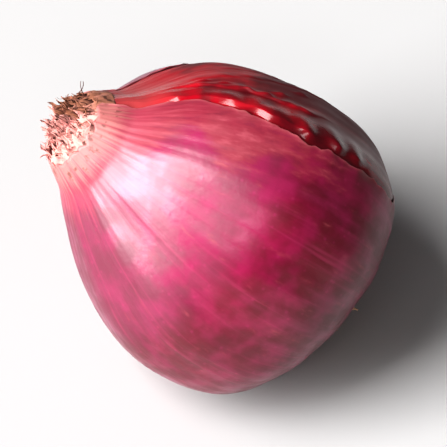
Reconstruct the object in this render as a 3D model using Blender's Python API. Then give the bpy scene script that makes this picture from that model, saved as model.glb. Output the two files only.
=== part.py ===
"""A red pearl onion, resting on a small flat spot on the lower edge of its base.

The bulb is a turned globe with a short conical neck, pulled slightly out of round. Its dry neck end
sits in a shallow seat at the tip, and its root plate with the dried rootlets in one at the base.
Units are metres and +Z is up. Each piece is shaped about the bulb's own axis, which runs from the roots
at -Z to the neck at +Z with the equator at zero, and one empty then leans them all over together.
"""

import math
import random

import bmesh
import bpy
import numpy as np
from mathutils import Matrix, Vector

# The bulb, measured along its axis from the equator
EQUATOR_RADIUS = 0.0155
BASE_DEPTH = 0.0120
BASE_POWER = 2.8
SHOULDER_HEIGHT = 0.0170
SHOULDER_POWER = 1.83
NECK_RIM_HEIGHT = 0.0193
NECK_RIM_RADIUS = 0.0037
NECK_FLARE = 0.63
NECK_BLEND = 0.0023
NECK_START = 0.55 * EQUATOR_RADIUS

# Seats for the dry neck end and the root plate, and the gap that each piece keeps in its seat
NECK_SEAT_RADIUS = 0.0028
NECK_SEAT_DEPTH = 0.0012
ROOT_SEAT_RADIUS = 0.0030
ROOT_SEAT_DEPTH = 0.0010
SEAT_GAP = 0.0003

# How the bulb grew out of round
FULL_SIDE = math.radians(75)
NECK_LEAN = 0.0003
BASE_SKEW = 0.0004
OVAL_SHARE = 0.030
OVAL_SIDE = math.radians(-36)
THREE_LOBE_SHARE = 0.040
THREE_LOBE_SIDE = math.radians(-6)
FULL_SHOULDER_SHARE = 0.060
FULL_SHOULDER_HEIGHT = 0.0110
FULL_SHOULDER_REACH = 0.0050
FLUTES = 12
FLUTE_DEPTH = 0.00010

# The window where the outer skin has torn away, between two meridians
SKIN_STEP = 0.00030
WINDOW_FROM = math.radians(-6)
WINDOW_TO = math.radians(72)
WINDOW_LOW = -0.0100
WINDOW_HIGH = 0.0150
WINDOW_EDGE = math.radians(6)
WINDOW_END = 0.0020

# The pose: the axis rises this much from level towards the neck, and the flat spot is cut this deep
NECK_RISE = math.radians(38)
FLAT_DEPTH = 0.00070

# Dry neck end: a short plug with rings of papery leaf ends
NECK_PLUG_RADIUS = NECK_SEAT_RADIUS - SEAT_GAP
NECK_PLUG_TOP = NECK_RIM_HEIGHT + 0.0007
LEAF_RINGS = (
    # leaf ends, ring radius, height of the tips above the rim, lean outwards
    (12, 0.00300, 0.0020, math.radians(-12)),
    (7, 0.00185, 0.0026, math.radians(-3)),
    (2, 0.00070, 0.0030, math.radians(6)),
)
LEAF_WIDTH = 0.00150
LEAF_THICKNESS = 0.00062

# Root plate and rootlets
ROOT_PLATE_RADIUS = ROOT_SEAT_RADIUS - SEAT_GAP
ROOT_PLATE_PROUD = 0.0006
ROOTLET_RINGS = (
    # rootlets, ring radius, splay from the axis, length
    (13, 0.00215, math.radians(46), 0.0027),
    (8, 0.00125, math.radians(24), 0.0029),
    (1, 0.00000, math.radians(4), 0.0027),
)
ROOTLET_THICKNESS = 0.00070

# Fineness of the faceted solids
AROUND = 72
PROFILE_STEPS = 44
PLUG_SIDES = 20
SEED = 7


def smooth_maximum(first, second, width):
    """The larger of two lengths, with the corner where they cross rounded over a width."""
    share = min(max(0.5 + 0.5 * (first - second) / width, 0.0), 1.0)
    return second * (1 - share) + first * share + width * share * (1 - share)


def smooth_step(value, start, end):
    """Zero before start, one after end, and an S-curve between them."""
    share = min(max((value - start) / (end - start), 0.0), 1.0)
    return share * share * (3 - 2 * share)


def bulb_radius(height):
    """Radius of the turned bulb: a superellipse that blends into a cone for the neck."""
    extent, power = (SHOULDER_HEIGHT, SHOULDER_POWER) if height > 0 else (BASE_DEPTH, BASE_POWER)
    reach = min(abs(height) / extent, 1.0)
    globe = EQUATOR_RADIUS * (1 - reach**power) ** (1 / power)
    if height < NECK_START:
        return globe
    cone = NECK_RIM_RADIUS + NECK_FLARE * (NECK_RIM_HEIGHT - height)
    return smooth_maximum(globe, cone, NECK_BLEND)


def base_height(radius):
    """Height of the bulb's underside at a radius near the axis."""
    return -BASE_DEPTH * (1 - (radius / EQUATOR_RADIUS) ** BASE_POWER) ** (1 / BASE_POWER)


ROOT_RIM_HEIGHT = base_height(ROOT_SEAT_RADIUS)


def bulb_profile():
    """(radius, height) points of half the bulb's section, from the root seat round to the neck seat."""
    fine = [
        (bulb_radius(height), height)
        for height in np.linspace(ROOT_RIM_HEIGHT, NECK_RIM_HEIGHT, 40 * PROFILE_STEPS)
    ]
    fine[0] = (ROOT_SEAT_RADIUS, ROOT_RIM_HEIGHT)
    steps = np.linalg.norm(np.diff(fine, axis=0), axis=1)
    along = np.concatenate([[0.0], np.cumsum(steps)])
    stations = np.linspace(0.0, along[-1], PROFILE_STEPS)
    outside = [tuple(np.interp(stations, along, column)) for column in zip(*fine)]
    root_floor = ROOT_RIM_HEIGHT + ROOT_SEAT_DEPTH
    neck_floor = NECK_RIM_HEIGHT - NECK_SEAT_DEPTH
    return (
        [(0.0, root_floor), (ROOT_SEAT_RADIUS, root_floor)]
        + list(zip(*outside))
        + [(NECK_SEAT_RADIUS, NECK_RIM_HEIGHT), (NECK_SEAT_RADIUS, neck_floor), (0.0, neck_floor)]
    )


def turned_mesh(profile, sides):
    """A closed solid of revolution about Z, spun from (radius, height) points that start and end on the axis."""
    shape = bmesh.new()
    rim = [shape.verts.new((radius, 0.0, height)) for radius, height in profile]
    edges = [shape.edges.new(pair) for pair in zip(rim, rim[1:])]
    bmesh.ops.spin(
        shape, geom=rim + edges, cent=(0, 0, 0), axis=(0, 0, 1), angle=math.tau, steps=sides, use_merge=True
    )
    bmesh.ops.remove_doubles(shape, verts=shape.verts, dist=1e-7)
    bmesh.ops.recalc_face_normals(shape, faces=shape.faces)
    return shape


def grown(point):
    """A turned point moved as the whole onion grew: the neck leans, and one side of the base is fuller."""
    x, y, z = point
    towards = Vector((math.cos(FULL_SIDE), math.sin(FULL_SIDE), 0.0))
    if z > 0:
        return Vector(point) + towards * NECK_LEAN * (z / NECK_RIM_HEIGHT) ** 2
    fuller = (x * towards.x + y * towards.y) / EQUATOR_RADIUS
    return Vector((x, y, z - BASE_SKEW * fuller * (z / BASE_DEPTH) ** 2))


def window_share(around, height):
    """One inside the torn window of the outer skin, zero outside it, with a short slope at its edges."""
    across = smooth_step(around, WINDOW_FROM, WINDOW_FROM + WINDOW_EDGE)
    across *= 1 - smooth_step(around, WINDOW_TO - WINDOW_EDGE, WINDOW_TO)
    along = smooth_step(height, WINDOW_LOW, WINDOW_LOW + WINDOW_END)
    along *= 1 - smooth_step(height, WINDOW_HIGH - WINDOW_END, WINDOW_HIGH)
    return across * along


def relief(around, radius, height):
    """How far the surface stands out from the turned shape: lobes, a fuller shoulder, flutes and the skin's step."""
    body = smooth_step(radius, ROOT_SEAT_RADIUS, 0.6 * EQUATOR_RADIUS)
    lobes = OVAL_SHARE * math.cos(2 * (around - OVAL_SIDE))
    lobes += THREE_LOBE_SHARE * math.cos(3 * (around - THREE_LOBE_SIDE))
    shoulder = math.exp(-(((height - FULL_SHOULDER_HEIGHT) / FULL_SHOULDER_REACH) ** 2))
    lobes += FULL_SHOULDER_SHARE * shoulder * math.cos(around - FULL_SIDE)
    flutes = FLUTE_DEPTH * math.cos(FLUTES * around)
    return body * (radius * lobes + flutes) - SKIN_STEP * window_share(around, height)


def cut_flat(shape, down):
    """Cuts the resting spot square to down, and returns the middle of the face that closes it."""
    lowest = max(vertex.co.dot(down) for vertex in shape.verts)
    plane = down * (lowest - FLAT_DEPTH)
    cut = bmesh.ops.bisect_plane(
        shape,
        geom=shape.verts[:] + shape.edges[:] + shape.faces[:],
        dist=1e-7,
        plane_co=plane,
        plane_no=down,
        clear_outer=True,
    )
    rim = [element for element in cut["geom_cut"] if isinstance(element, bmesh.types.BMEdge)]
    (flat,) = bmesh.ops.contextual_create(shape, geom=rim)["faces"]
    bmesh.ops.recalc_face_normals(shape, faces=shape.faces)
    return flat.calc_center_median_weighted()


def bulb_shape(down):
    """The bulb's closed mesh, and the middle of its resting spot."""
    shape = turned_mesh(bulb_profile(), AROUND)
    for vertex in shape.verts:
        x, y, z = vertex.co
        radius = math.hypot(x, y)
        if radius > ROOT_SEAT_RADIUS + SEAT_GAP / 2 or 0 < z and radius > NECK_SEAT_RADIUS + SEAT_GAP:
            around = math.atan2(y, x)
            grow = 1 + relief(around, radius, z) / radius
            vertex.co = (x * grow, y * grow, z)
        vertex.co = grown(vertex.co)
    return shape, cut_flat(shape, down)


def swept_solid(spine, half_widths, half_depths, across, sides):
    """A closed solid with an oval section carried along a spine: its widths lie along across, its depths square to it."""
    shape = bmesh.new()
    rings = []
    for place, point in enumerate(spine):
        ahead = spine[min(place + 1, len(spine) - 1)] - spine[max(place - 1, 0)]
        depth_way = ahead.cross(across).normalized()
        width_way = depth_way.cross(ahead).normalized()
        ring = []
        for side in range(sides):
            turn = math.tau * (side + 0.5) / sides
            offset = width_way * half_widths[place] * math.cos(turn)
            offset += depth_way * half_depths[place] * math.sin(turn)
            ring.append(shape.verts.new(point + offset))
        rings.append(ring)
    for lower, upper in zip(rings, rings[1:]):
        for side in range(sides):
            following = (side + 1) % sides
            shape.faces.new((lower[side], lower[following], upper[following], upper[side]))
    shape.faces.new(rings[0])
    shape.faces.new(rings[-1])
    bmesh.ops.recalc_face_normals(shape, faces=shape.faces)
    return shape


def leaf_end(around, ring_radius, height, lean, draw):
    """One dry, pointed leaf end: a blade that rises from inside the plug and bows outwards."""
    outwards = Vector((math.cos(around), math.sin(around), 0.0))
    across = Vector((-math.sin(around), math.cos(around), 0.0))
    top = height * draw.uniform(0.72, 1.0)
    foot = NECK_PLUG_TOP - 0.0006
    bow = math.tan(lean + math.radians(draw.uniform(-6, 6)))
    twist = draw.uniform(-0.10, 0.10)
    reach = NECK_RIM_HEIGHT + top - foot
    spine, half_widths = [], []
    for share in (0.0, 0.35, 0.7, 1.0):
        rise = reach * share
        spine.append(
            outwards * (ring_radius - LEAF_THICKNESS / 2 + bow * rise * share)
            + across * twist * rise
            + Vector((0, 0, foot + rise))
        )
        half_widths.append(LEAF_WIDTH / 2 * (1 - 0.55 * share**2))
    half_depths = [LEAF_THICKNESS / 2] * len(spine)
    return swept_solid(spine, half_widths, half_depths, across, 6)


def rootlet(around, ring_radius, splay, length, draw):
    """One dried rootlet: a thin round tube that leaves the plate at a splay and curls on outwards."""
    outwards = Vector((math.cos(around), math.sin(around), 0.0))
    across = Vector((-math.sin(around), math.cos(around), 0.0))
    angle = splay + math.radians(draw.uniform(-9, 9))
    curl = math.radians(draw.uniform(-30, 45))
    swing = draw.uniform(-0.35, 0.35)
    run = length * draw.uniform(0.75, 1.0)
    point = outwards * ring_radius + Vector((0, 0, ROOT_RIM_HEIGHT + 0.0002))
    spine, pieces = [point], 4
    for piece in range(pieces):
        turned = angle + curl * (piece + 0.5) / pieces
        way = outwards * math.sin(turned) + across * swing * (piece / pieces) - Vector((0, 0, math.cos(turned)))
        point = point + way.normalized() * run / pieces
        spine.append(point)
    half = [ROOTLET_THICKNESS / 2 * (1 - 0.12 * place / pieces) for place in range(pieces + 1)]
    return swept_solid(spine, half, half, across, 6)


def finish(name, colour, roughness):
    """A plain finish with one colour."""
    material = bpy.data.materials.new(name)
    material.use_nodes = True
    shader = material.node_tree.nodes["Principled BSDF"]
    shader.inputs["Base Color"].default_value = (*colour, 1.0)
    shader.inputs["Roughness"].default_value = roughness
    shader.inputs["Metallic"].default_value = 0.0
    return material


def object_from(shape, name, collection):
    """Turns a bmesh into an object in a collection."""
    mesh = bpy.data.meshes.new(name)
    shape.to_mesh(mesh)
    shape.free()
    made = bpy.data.objects.new(name, mesh)
    collection.objects.link(made)
    return made


def fused(name, core, repeats):
    """One object: a core with its repeats joined to it by a single Boolean union, which is applied."""
    scene = bpy.context.scene.collection
    body = object_from(core, name, scene)
    loose = bpy.data.collections.new(name + "_repeats")
    scene.children.link(loose)
    for number, shape in enumerate(repeats):
        object_from(shape, f"{name}_repeat_{number}", loose)
    union = body.modifiers.new("join_repeats", "BOOLEAN")
    union.operation = "UNION"
    union.operand_type = "COLLECTION"
    union.collection = loose
    union.solver = "EXACT"
    union.use_self = True
    graph = bpy.context.evaluated_depsgraph_get()
    joined = bpy.data.meshes.new_from_object(body.evaluated_get(graph))
    body.modifiers.clear()
    body.data = joined
    for extra in list(loose.objects):
        bpy.data.objects.remove(extra)
    bpy.data.collections.remove(loose)
    return body


def make_bulb(down):
    """The bulb with its flat spot, and where the middle of that spot is."""
    shape, spot = bulb_shape(down)
    bulb = object_from(shape, "bulb", bpy.context.scene.collection)
    bulb.data.shade_smooth()
    bulb.data.set_sharp_from_angle(angle=math.radians(35))
    bulb.data.materials.append(finish("magenta_skin", (0.42, 0.02, 0.10), 0.38))
    return bulb, spot


def make_dry_neck():
    """The dried neck end: a plug in the bulb's tip with two rings of papery leaf ends."""
    draw = random.Random(SEED)
    foot = NECK_RIM_HEIGHT - NECK_SEAT_DEPTH + SEAT_GAP
    plug = turned_mesh(
        [
            (0.0, foot),
            (NECK_PLUG_RADIUS, foot),
            (NECK_PLUG_RADIUS, NECK_RIM_HEIGHT + SEAT_GAP),
            (NECK_RIM_RADIUS - SEAT_GAP, NECK_RIM_HEIGHT + SEAT_GAP),
            (NECK_RIM_RADIUS - 2 * SEAT_GAP, NECK_PLUG_TOP),
            (0.0, NECK_PLUG_TOP),
        ],
        PLUG_SIDES,
    )
    leaves = []
    for count, ring_radius, height, lean in LEAF_RINGS:
        for number in range(count):
            around = math.tau * (number + draw.uniform(-0.2, 0.2)) / count
            leaves.append(leaf_end(around, ring_radius, height, lean, draw))
    neck = fused("dry_neck", plug, leaves)
    neck.data.materials.append(finish("cream_paper", (0.72, 0.45, 0.31), 0.7))
    return neck


def make_root_tuft():
    """The corky root plate in its seat, with rings of dried rootlets."""
    draw = random.Random(SEED + 1)
    top = ROOT_RIM_HEIGHT + ROOT_SEAT_DEPTH - SEAT_GAP
    plate = turned_mesh(
        [
            (0.0, ROOT_RIM_HEIGHT - ROOT_PLATE_PROUD),
            (0.7 * ROOT_PLATE_RADIUS, ROOT_RIM_HEIGHT - 0.8 * ROOT_PLATE_PROUD),
            (ROOT_PLATE_RADIUS, ROOT_RIM_HEIGHT),
            (ROOT_PLATE_RADIUS, top),
            (0.0, top),
        ],
        PLUG_SIDES,
    )
    rootlets = []
    for count, ring_radius, splay, length in ROOTLET_RINGS:
        for number in range(count):
            around = math.tau * (number + draw.uniform(-0.25, 0.25)) / count
            rootlets.append(rootlet(around, ring_radius, splay, length, draw))
    tuft = fused("root_tuft", plate, rootlets)
    tuft.data.materials.append(finish("dry_root", (0.40, 0.25, 0.12), 0.85))
    return tuft


def build():
    """Clears the scene, makes the three pieces about the bulb's axis, and sets them down on the flat spot."""
    for old in list(bpy.data.objects):
        bpy.data.objects.remove(old)
    lay_over = Matrix.Rotation(NECK_RISE - math.pi / 2, 4, "Y")
    down = lay_over.inverted().to_3x3() @ Vector((0, 0, -1))
    bulb, spot = make_bulb(down)
    pose = bpy.data.objects.new("onion_pose", None)
    bpy.context.scene.collection.objects.link(pose)
    pose.matrix_world = Matrix.Translation(-(lay_over @ spot)) @ lay_over
    neck, tuft = make_dry_neck(), make_root_tuft()
    for piece in (neck, tuft):
        for vertex in piece.data.vertices:
            vertex.co = grown(vertex.co)
    for piece in (bulb, neck, tuft):
        piece.parent = pose


build()
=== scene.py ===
"""A red pearl onion, dressed: its fleshy inner scale, torn papery skin, dried neck and wiry root tuft.

Everything is shaped about the bulb's own axis, which runs from the roots at -Z to the neck at +Z with the
equator at zero, and BulbPose then leans it over onto the small flat spot that the frame rests on. Angles
round the axis are called "around". Lengths are in metres.
"""

import logging
import math
from dataclasses import dataclass
from enum import Enum
from typing import Any, Optional

import bpy
import numpy as np
from mathutils import Matrix, Vector


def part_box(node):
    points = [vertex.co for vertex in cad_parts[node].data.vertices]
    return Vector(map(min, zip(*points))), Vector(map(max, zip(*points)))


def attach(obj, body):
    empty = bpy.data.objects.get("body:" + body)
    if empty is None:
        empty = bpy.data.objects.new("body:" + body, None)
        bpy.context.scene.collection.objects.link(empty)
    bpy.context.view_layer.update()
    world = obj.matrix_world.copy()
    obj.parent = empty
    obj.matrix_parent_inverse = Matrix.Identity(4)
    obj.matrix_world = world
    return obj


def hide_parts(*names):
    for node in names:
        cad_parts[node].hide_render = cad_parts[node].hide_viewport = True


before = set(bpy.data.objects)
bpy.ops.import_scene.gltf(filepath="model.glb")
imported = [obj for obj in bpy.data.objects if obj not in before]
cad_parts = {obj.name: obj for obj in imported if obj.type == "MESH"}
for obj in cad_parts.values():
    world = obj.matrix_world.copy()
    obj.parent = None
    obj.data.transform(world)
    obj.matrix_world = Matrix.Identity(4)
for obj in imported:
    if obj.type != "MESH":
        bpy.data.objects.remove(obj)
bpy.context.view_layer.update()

MM = 0.001
TURN = math.tau
BELLY_TOP = 3 * MM
NECK_FOOT = 17 * MM
LOG = logging.getLogger("pearl_onion")

Colour = tuple[float, float, float]


class Slot(Enum):
    """The record's material slots."""

    SKIN = "skin"
    DRY_NECK = "dry_neck"
    ROOT = "root"


class Node(Enum):
    """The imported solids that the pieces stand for."""

    BULB = "bulb"
    DRY_NECK = "dry_neck"
    ROOT_TUFT = "root_tuft"


def smooth_step(value: np.ndarray, start: float, end: float) -> np.ndarray:
    """An S-curve from zero at start to one at end.

    Args:
        value: Where to read the curve.
        start: Where it leaves zero.
        end: Where it reaches one; it may be below start, for a falling curve.

    Returns:
        The curve's height, of value's shape.
    """
    share = np.clip((value - start) / (end - start), 0.0, 1.0)
    return share * share * (3.0 - 2.0 * share)


def smooth_maximum(first: np.ndarray, second: np.ndarray, width: float) -> np.ndarray:
    """The larger of two lengths, with the corner where they cross rounded over a width.

    Args:
        first: One length.
        second: The other.
        width: How wide the rounding is, in the lengths' own unit.

    Returns:
        The rounded maximum: a blend of both plus a bump of up to a quarter of the width.
    """
    share = np.clip(0.5 + 0.5 * (first - second) / width, 0.0, 1.0)
    return second * (1.0 - share) + first * share + width * share * (1.0 - share)


def wrapped(angle: np.ndarray) -> np.ndarray:
    """Angles brought to within half a turn of zero."""
    return (angle + math.pi) % TURN - math.pi


def turning(height: np.ndarray, low: float, high: float) -> np.ndarray:
    """An angle that is low round the belly and turns to high by the neck."""
    return low + (high - low) * smooth_step(height, BELLY_TOP, NECK_FOOT)


def about_axis(around: np.ndarray, radius: np.ndarray | float, height: np.ndarray | float) -> np.ndarray:
    """Points from angles round the axis, radii and heights, with x, y and z along the last axis."""
    parts = np.broadcast_arrays(radius * np.cos(around), radius * np.sin(around), height)
    return np.stack(parts, axis=-1)


def normalised(vectors: np.ndarray) -> np.ndarray:
    """The vectors along the last axis, each scaled to length one."""
    return vectors / np.maximum(np.linalg.norm(vectors, axis=-1, keepdims=True), 1e-12)


@dataclass(frozen=True)
class Ripple:
    """A smooth random function of place: a seeded sum of sine waves that run in random directions.

    Attributes:
        seed: Picks the waves.
        spacing: The usual distance between crests, in the unit of the points.
        waves: How many waves are summed.
        depth: Its usual height.
    """

    seed: int
    spacing: float
    waves: int = 9
    depth: float = 1.0

    def __call__(self, points: np.ndarray) -> np.ndarray:
        """Reads the ripple.

        Args:
            points: Places, with their coordinates along the last axis.

        Returns:
            About -1.5 to 1.5 times the depth at each place, zero on average.
        """
        draw = np.random.default_rng(self.seed)
        ways = normalised(draw.normal(size=(self.waves, points.shape[-1]))).T
        lengths = self.spacing * draw.uniform(0.7, 1.7, self.waves)
        phases = draw.uniform(0.0, TURN, self.waves)
        total = np.sin(points @ (ways / lengths * TURN) + phases).sum(axis=-1)
        return self.depth * (total / math.sqrt(self.waves))


@dataclass(frozen=True)
class BulbForm:
    """The bulb's outside about its own axis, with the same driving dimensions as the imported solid.

    A superellipse makes the globe, flatter at the base than at the shoulder, and a smooth maximum joins it
    to the cone of the neck. An oval, three lobes, one fuller shoulder and a slight lean pull it out of round.

    Attributes:
        equator_radius: Radius where it is widest, at height zero.
        base_depth: How far the base is below the equator.
        base_power: The base's superellipse power; two is round, and more is flatter with a tighter corner.
        shoulder_height: Height where the shoulder's superellipse would close.
        shoulder_power: Its power.
        rim_height: Height of the neck's rim.
        rim_radius: Its radius.
        neck_flare: How much the neck's cone widens for each metre below the rim.
        neck_blend: Width of the rounding where the globe meets the cone.
        neck_start: Where the cone starts to count, as a share of the equator's radius.
        full_side: The angle of the fuller side, which the neck leans to.
        neck_lean: How far the rim leans that way.
        base_skew: How much lower the base is on that side.
        oval_share: Height of the oval's two lobes, as a share of the radius.
        oval_side: The angle of one of them.
        three_lobe_share: Height of the three lobes, as a share of the radius.
        three_lobe_side: The angle of one of them.
        full_shoulder_share: How much fuller the shoulder is on its full side, as a share of the radius.
        full_shoulder_height: Height where it is fullest.
        full_shoulder_reach: How far above and below it fades.
        flutes: How many shallow flutes run round it.
        flute_depth: Their depth.
        relief_start: Radius where the lobes and flutes start, round the base's middle.
        relief_full: Radius where they are full, as a share of the equator's.
        lumps: The skin's low lumps.
        lumps_full: Radius where they are full, as a share of the equator's.
        veins: How many veins run round it.
        vein_depth: Their height.
        vein_reach: Radii between which they come up.
        vein_waver: How they waver, as an angle of their wave.
        pleats: The pleats of the neck.
        pleat_length: Height that counts as much as the circle's radius in the veins' and pleats' patterns.
        pleat_reach: Heights between which the pleats come up.
        base_points: Points of the section below the equator.
        side_points: Points of it above.
    """

    equator_radius: float = 15.5 * MM
    base_depth: float = 12.0 * MM
    base_power: float = 2.8
    shoulder_height: float = 17.0 * MM
    shoulder_power: float = 1.83
    rim_height: float = 19.3 * MM
    rim_radius: float = 3.7 * MM
    neck_flare: float = 0.63
    neck_blend: float = 2.3 * MM
    neck_start: float = 0.55
    full_side: float = math.radians(75)
    neck_lean: float = 0.3 * MM
    base_skew: float = 0.4 * MM
    oval_share: float = 0.030
    oval_side: float = math.radians(-36)
    three_lobe_share: float = 0.040
    three_lobe_side: float = math.radians(-6)
    full_shoulder_share: float = 0.060
    full_shoulder_height: float = 11.0 * MM
    full_shoulder_reach: float = 5.0 * MM
    flutes: int = 12
    flute_depth: float = 0.10 * MM
    relief_start: float = 3.0 * MM
    relief_full: float = 0.6
    lumps: Ripple = Ripple(11, 9.0 * MM, depth=0.10 * MM)
    lumps_full: float = 0.5
    veins: int = 54
    vein_depth: float = 0.014 * MM
    vein_reach: tuple[float, float] = (2.0 * MM, 5.0 * MM)
    vein_waver: Ripple = Ripple(12, 0.7, depth=0.8)
    pleats: Ripple = Ripple(13, 0.42, 14, 0.07 * MM)
    pleat_length: float = 30.0 * MM
    pleat_reach: tuple[float, float] = (12.0 * MM, 17.5 * MM)
    base_points: int = 500
    side_points: int = 900

    def cone_radius(self, height: np.ndarray) -> np.ndarray:
        """Radius of the neck's cone: the rim's, plus the flare for each metre below the rim."""
        return self.rim_radius + self.neck_flare * (self.rim_height - height)

    def radius(self, height: np.ndarray) -> np.ndarray:
        """Radius of the turned bulb.

        Args:
            height: Heights along the axis.

        Returns:
            The globe's superellipse, blended into the cone above neck_start.
        """
        upper = height > 0.0
        extent = np.where(upper, self.shoulder_height, self.base_depth)
        power = np.where(upper, self.shoulder_power, self.base_power)
        reach = np.minimum(np.abs(height) / extent, 1.0)
        globe = self.equator_radius * (1.0 - reach**power) ** (1.0 / power)
        blended = smooth_maximum(globe, self.cone_radius(height), self.neck_blend)
        return np.where(height < self.neck_start * self.equator_radius, globe, blended)

    def section(self) -> tuple[np.ndarray, np.ndarray, np.ndarray]:
        """Half the bulb's section as a fine line from the base's middle to the neck's rim.

        Returns:
            Distance along the line, radius and height, one value of each for each point.
        """
        under = -self.base_depth * np.cos(np.linspace(0.0, math.pi / 2, self.base_points))
        height = np.concatenate([under, np.linspace(0.0, self.rim_height, self.side_points)[1:]])
        radius = self.radius(height)
        steps = np.hypot(np.diff(radius), np.diff(height))
        return np.concatenate([[0.0], np.cumsum(steps)]), radius, height

    def relief(self, around: np.ndarray, radius: np.ndarray, height: np.ndarray) -> np.ndarray:
        """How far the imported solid's form stands out from the turned shape.

        Args:
            around: Angles round the axis.
            radius: Radii of the turned shape.
            height: Heights along the axis.

        Returns:
            Lobes and the fuller shoulder as shares of the radius, plus shallow flutes.
        """
        body = smooth_step(radius, self.relief_start, self.relief_full * self.equator_radius)
        shoulder = np.exp(-(((height - self.full_shoulder_height) / self.full_shoulder_reach) ** 2))
        lobes = self.oval_share * np.cos(2 * (around - self.oval_side))
        lobes = lobes + self.three_lobe_share * np.cos(3 * (around - self.three_lobe_side))
        lobes = lobes + self.full_shoulder_share * shoulder * np.cos(around - self.full_side)
        return body * (radius * lobes + self.flute_depth * np.cos(self.flutes * around))

    def texture(self, around: np.ndarray, radius: np.ndarray, height: np.ndarray) -> np.ndarray:
        """The finer relief of a grown skin: lumps, lengthwise veins, and pleats that gather to the neck.

        Args:
            around: Angles round the axis.
            radius: Radii of the turned shape.
            height: Heights along the axis.

        Returns:
            Heights above the form, in metres.
        """
        lengthwise = about_axis(around, 1.0, height / self.pleat_length)
        body = smooth_step(radius, self.relief_start, self.lumps_full * self.equator_radius)
        lumps = self.lumps(about_axis(around, radius, height))
        veins = self.vein_depth * np.cos(self.veins * around + self.vein_waver(lengthwise))
        pleats = smooth_step(height, *self.pleat_reach) * self.pleats(lengthwise)
        return body * lumps + smooth_step(radius, *self.vein_reach) * veins + pleats

    def grain(self, around: np.ndarray, height: np.ndarray) -> np.ndarray:
        """The vector that lengthwise patterns follow: the angle's cosine and sine, and the height."""
        return about_axis(around, 1.0, height / self.equator_radius)

    def grown(self, points: np.ndarray) -> np.ndarray:
        """Points moved as the whole onion grew: the neck leans, and one side of the base is fuller.

        Args:
            points: Places about the turned axis.

        Returns:
            The places after the lean, which grows with the square of the height, and the skew.
        """
        x, y, z = np.moveaxis(points, -1, 0)
        towards = (math.cos(self.full_side), math.sin(self.full_side))
        lean = np.where(z > 0.0, self.neck_lean * (z / self.rim_height) ** 2, 0.0)
        fuller = (x * towards[0] + y * towards[1]) / self.equator_radius
        skew = np.where(z < 0.0, self.base_skew * fuller * (z / self.base_depth) ** 2, 0.0)
        return np.stack([x + lean * towards[0], y + lean * towards[1], z - skew], axis=-1)

    def surface(
        self,
        around: np.ndarray,
        radius: np.ndarray,
        height: np.ndarray,
        proud: float | np.ndarray = 0.0,
        fine: bool = True,
    ) -> np.ndarray:
        """Points of the bulb's outside.

        Args:
            around: Angles round the axis.
            radius: Radii of the turned shape.
            height: Heights along the axis.
            proud: How far to stand out from the surface, square to the section.
            fine: Whether the finer relief is added to the form.

        Returns:
            Points about the axis, with x, y and z along the last axis.
        """
        around, radius, height = np.broadcast_arrays(around, radius, height)
        out = self.relief(around, radius, height)
        if fine:
            out = out + self.texture(around, radius, height)
        # Square to the section: mostly outwards on the globe's side, mostly downwards under its base.
        slope = np.clip(-height / self.base_depth, 0.0, 1.0) ** (2 * self.base_power)
        flat = slope * (1.0 - smooth_step(radius / self.equator_radius, 0.3, 0.8))
        spread = radius + (out + proud) * (1.0 - flat)
        fall = height - (out + proud) * flat
        return self.grown(about_axis(around, spread, fall))


@dataclass(frozen=True)
class BulbPose:
    """How the onion lies: its axis leans over about Y, and its equator's middle is above the flat spot.

    Attributes:
        origin: The equator's middle in the frame.
        rise: How much the axis rises from level towards the neck.
    """

    origin: tuple[float, float, float]
    rise: float = math.radians(38)

    @staticmethod
    def turn(rise: float) -> np.ndarray:
        """The rotation about Y that lays the upright axis over.

        Args:
            rise: How much the axis rises from level afterwards.

        Returns:
            The rotation's matrix: cosines and sines of the angle from upright.
        """
        angle = rise - math.pi / 2
        cosine, sine = math.cos(angle), math.sin(angle)
        return np.array([[cosine, 0.0, sine], [0.0, 1.0, 0.0], [-sine, 0.0, cosine]])

    @classmethod
    def over_frame(cls, form: BulbForm) -> "BulbPose":
        """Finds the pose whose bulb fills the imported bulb's box.

        Args:
            form: The shape that both share.

        Returns:
            The pose with its origin set. The box's low Z is the flat spot, so only its top places Z.
        """
        _, radius, height = form.section()
        around = np.linspace(0.0, TURN, 721)[None, :]
        points = form.surface(around, radius[::4, None], height[::4, None], fine=False)
        points = points @ cls.turn(cls.rise).T
        low, high = points.min(axis=(0, 1)), points.max(axis=(0, 1))
        cad_low, cad_high = (np.array(corner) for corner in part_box(Node.BULB.value))
        shift = (cad_low + cad_high - low - high) / 2
        shift[2] = (cad_high - high)[2]
        return cls(origin=tuple(float(value) for value in shift))

    def placed(self, points: np.ndarray, floor: float = 0.0) -> np.ndarray:
        """Moves points from the bulb's own axes into the frame.

        Args:
            points: Places about the bulb's axis.
            floor: Nothing goes below this height, which presses the resting spot flat.

        Returns:
            The places in the frame.
        """
        moved = points @ self.turn(self.rise).T + np.array(self.origin)
        moved[..., 2] = np.maximum(moved[..., 2], floor)
        return moved


def grid_quads(rows: int, columns: int, closed: bool) -> np.ndarray:
    """The quads of a grid whose points are numbered row by row.

    Args:
        rows: Rows of points.
        columns: Points in each row.
        closed: Whether the last column joins the first.

    Returns:
        Four point numbers for each quad.
    """
    across = columns if closed else columns - 1
    row, column = np.meshgrid(np.arange(rows - 1), np.arange(across), indexing="ij")
    lower = [row * columns + column, row * columns + (column + 1) % columns]
    upper = [corner + columns for corner in reversed(lower)]
    return np.stack(lower + upper, axis=-1).reshape(-1, 4)


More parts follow.
